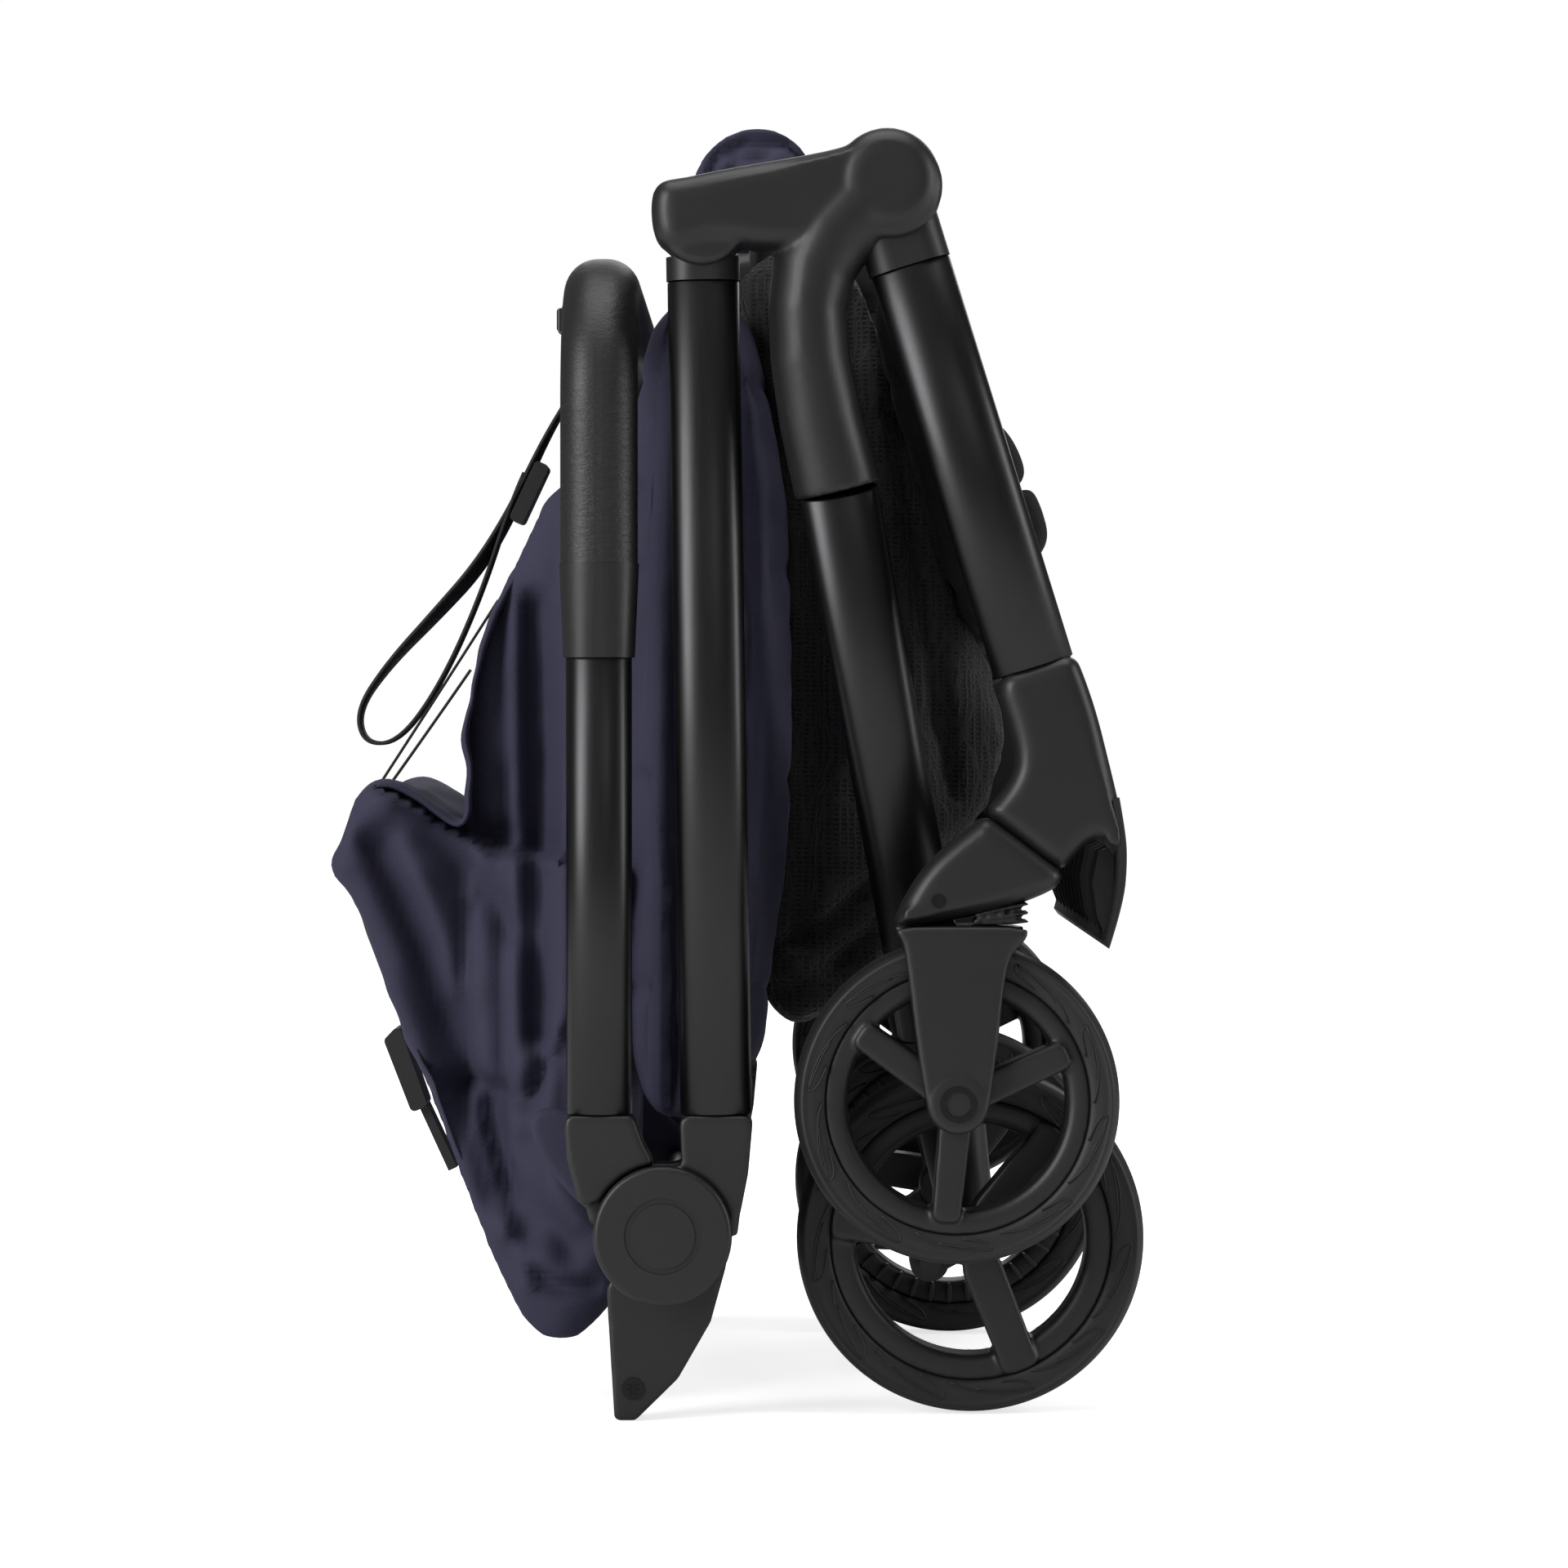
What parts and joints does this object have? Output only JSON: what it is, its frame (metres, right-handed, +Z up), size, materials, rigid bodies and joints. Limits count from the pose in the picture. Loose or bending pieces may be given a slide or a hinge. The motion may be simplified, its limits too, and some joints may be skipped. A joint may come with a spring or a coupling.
{
  "type": "baby stroller",
  "caption": "Compact travel stroller folded upright on its rear wheels and hinge fins, with canopy, seat, swivel front wheels, brake and carry strap.",
  "frame": {"origin": "on the floor, under the middle of the folded stroller", "axes": "+X to the stroller's front, +Y to its left, +Z up, as it stands folded"},
  "size_m": [0.348, 0.4394, 0.5505],
  "materials": {
    "anodised_tube": "satin black anodised",
    "moulded_nylon": "fine moulded grain",
    "rim_plastic": "moulded",
    "tyre_foam": "matte",
    "button_plastic": "moulded",
    "steel": "black zinc",
    "bumper_rubber": "matte",
    "leatherette": "fine wrinkle grain",
    "navy_fabric": "fine plain weave",
    "black_fabric": "plain weave",
    "black_mesh": "spacer mesh",
    "webbing": "flat webbing",
    "elastic": "braided elastic"
  },
  "bodies": {
    "rear_frame": {"hub_shell_right": "moulded_nylon", "hub_shell_left": "moulded_nylon", "rear_leg_tubes": "anodised_tube", "rear_feet": "moulded_nylon", "rear_axle": "steel", "rear_axle_caps": "moulded_nylon", "hub_pivot_pins": "steel", "hub_cross_tube": "anodised_tube", "seat_fold": "navy_fabric", "basket": "black_mesh"},
    "handlebar_lower": {"lower_tubes": "anodised_tube", "lower_caps": "moulded_nylon", "lower_hinge_fitting_right": "moulded_nylon", "lower_hinge_fitting_left": "moulded_nylon", "hinge_covers": "moulded_nylon", "hinge_pins": "steel", "fin_screws": "steel", "hinge_cross_bar": "anodised_tube", "seat_back": "navy_fabric"},
    "handlebar_upper": {"upper_hinge_fitting_right": "moulded_nylon", "upper_hinge_fitting_left": "moulded_nylon", "upper_tubes": "anodised_tube", "grip_collars": "moulded_nylon", "handlebar_grip": "leatherette", "release_housing": "moulded_nylon", "carry_strap": "webbing", "strap_buckle": "moulded_nylon"},
    "release_button": {"release_button": "button_plastic"},
    "front_frame": {"front_leg_tubes": "anodised_tube", "front_caps": "moulded_nylon", "front_fitting_right": "moulded_nylon", "front_fitting_left": "moulded_nylon", "swivel_stems": "steel", "footboard": "moulded_nylon", "seat_base": "black_fabric", "harness_pads": "black_fabric"},
    "brake": {"brake_bar": "moulded_nylon"},
    "canopy": {"canopy": "navy_fabric", "canopy_brackets": "moulded_nylon", "canopy_clip": "moulded_nylon", "canopy_elastic_near": "elastic", "canopy_elastic_far": "elastic"},
    "caster_right": {"caster_knuckle_right": "moulded_nylon", "suspension_pin_right": "steel", "suspension_bumper_right": "bumper_rubber"},
    "fork_right": {"fork_right": "moulded_nylon", "front_axle_right": "steel"},
    "front_wheel_right": {"front_tyre_right": "tyre_foam", "front_rim_right": "rim_plastic"},
    "rear_wheel_right": {"rear_tyre_right": "tyre_foam", "rear_rim_right": "rim_plastic"},
    "caster_left": {"caster_knuckle_left": "moulded_nylon", "suspension_pin_left": "steel", "suspension_bumper_left": "bumper_rubber"},
    "fork_left": {"fork_left": "moulded_nylon", "front_axle_left": "steel"},
    "front_wheel_left": {"front_tyre_left": "tyre_foam", "front_rim_left": "rim_plastic"},
    "rear_wheel_left": {"rear_tyre_left": "tyre_foam", "rear_rim_left": "rim_plastic"}
  },
  "joints": [
    {"name": "handlebar_fold", "type": "hinge", "parent": "rear_frame", "child": "handlebar_lower", "pos_m": [-0.0142, 0, 0.5057], "axis": [0, 1, 0], "range_deg": [0, 84]},
    {"name": "handlebar_extend", "type": "hinge", "parent": "handlebar_lower", "child": "handlebar_upper", "pos_m": [-0.0306, 0, 0.0805], "axis": [0, 1, 0], "range_deg": [-180, 0]},
    {"name": "front_leg_fold", "type": "hinge", "parent": "rear_frame", "child": "front_frame", "pos_m": [0.0615, 0, 0.5207], "axis": [0, 1, 0], "range_deg": [-94.5, 0]},
    {"name": "canopy_open", "type": "hinge", "parent": "handlebar_lower", "child": "canopy", "pos_m": [-0.0306, 0, 0.0805], "axis": [0, 1, 0], "range_deg": [-55, 0], "deforming": ["carry_strap"]},
    {"name": "release_press", "type": "slide", "parent": "handlebar_upper", "child": "release_button", "axis": [1, 0, 0], "range_m": [0, 0.003], "stiffness_N_per_m": 400},
    {"name": "brake_pedal", "type": "hinge", "parent": "rear_frame", "child": "brake", "pos_m": [0.083, 0, 0.0605], "axis": [0, 1, 0], "range_deg": [-15, 0]},
    {"name": "caster_swivel_right", "type": "hinge", "parent": "front_frame", "child": "caster_right", "pos_m": [0.1181, -0.195, 0.2428], "axis": [-0.6198, 0, -0.7848], "range_deg": [-7, 7]},
    {"name": "fork_suspension_right", "type": "hinge", "parent": "caster_right", "child": "fork_right", "pos_m": [0.0843, -0.195, 0.2199], "axis": [0, 1, 0], "range_deg": [-6, 0], "stiffness_Nm_per_rad": 40},
    {"name": "front_wheel_spin_right", "type": "hinge", "parent": "fork_right", "child": "front_wheel_right", "pos_m": [0.0923, -0.195, 0.1358], "axis": [0, 1, 0], "continuous": true},
    {"name": "rear_wheel_spin_right", "type": "hinge", "parent": "rear_frame", "child": "rear_wheel_right", "pos_m": [0.0996, -0.148, 0.0742], "axis": [0, 1, 0], "continuous": true},
    {"name": "caster_swivel_left", "type": "hinge", "parent": "front_frame", "child": "caster_left", "pos_m": [0.1181, 0.195, 0.2428], "axis": [-0.6198, 0, -0.7848], "range_deg": [-7, 7]},
    {"name": "fork_suspension_left", "type": "hinge", "parent": "caster_left", "child": "fork_left", "pos_m": [0.0843, 0.195, 0.2199], "axis": [0, 1, 0], "range_deg": [-6, 0], "stiffness_Nm_per_rad": 40},
    {"name": "front_wheel_spin_left", "type": "hinge", "parent": "fork_left", "child": "front_wheel_left", "pos_m": [0.0923, 0.195, 0.1358], "axis": [0, 1, 0], "continuous": true},
    {"name": "rear_wheel_spin_left", "type": "hinge", "parent": "rear_frame", "child": "rear_wheel_left", "pos_m": [0.0996, 0.148, 0.0742], "axis": [0, 1, 0], "continuous": true}
  ],
  "couplings": [
    {"joint": "handlebar_extend", "follows": "handlebar_fold", "ratio": -2.1429},
    {"joint": "front_leg_fold", "follows": "handlebar_fold", "ratio": -1.125}
  ]
}
